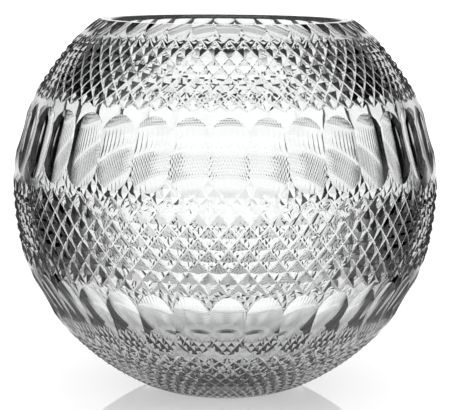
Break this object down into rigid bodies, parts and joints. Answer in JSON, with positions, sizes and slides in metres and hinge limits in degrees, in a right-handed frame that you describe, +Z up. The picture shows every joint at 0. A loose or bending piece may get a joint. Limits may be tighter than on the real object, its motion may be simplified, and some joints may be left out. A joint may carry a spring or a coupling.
{
  "type": "rose bowl vase",
  "caption": "Globe-shaped cut glass rose bowl with an open round mouth and a small flat foot, for holding cut flowers in water.",
  "frame": {"origin": "centre of the foot, on the surface that the bowl stands on", "axes": "+Z up along the bowl's axis, with the middle of a flute facing -Y"},
  "size_m": [0.2, 0.2, 0.1758],
  "materials": {
    "clear_crystal": "colourless lead crystal, wheel cut and polished"
  },
  "bodies": {
    "root": {"crystal_bowl": "clear_crystal"}
  },
  "joints": []
}
